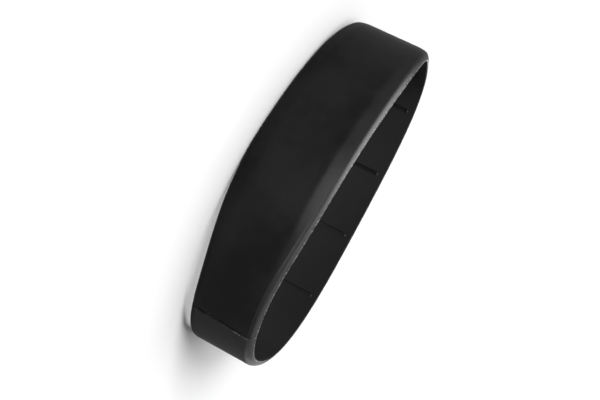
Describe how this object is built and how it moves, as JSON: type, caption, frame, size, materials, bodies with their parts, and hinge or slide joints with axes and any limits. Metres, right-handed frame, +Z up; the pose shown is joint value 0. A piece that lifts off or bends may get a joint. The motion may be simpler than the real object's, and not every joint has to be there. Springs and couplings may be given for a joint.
{
  "type": "rfid wristband",
  "caption": "Closed moulded silicone wristband, black, with a wide bevelled face that tapers into a narrower strap, a bonded butt seam and short cross grooves inside.",
  "frame": {"origin": "centre of the resting band's footprint box, on the surface that it lies on", "axes": "+Z up from the surface, X along the oval's length, and the wide face towards -Y"},
  "size_m": [0.0766, 0.047, 0.0202],
  "materials": {
    "silicone": "satin black silicone"
  },
  "bodies": {
    "root": {"band": "silicone"}
  },
  "joints": []
}
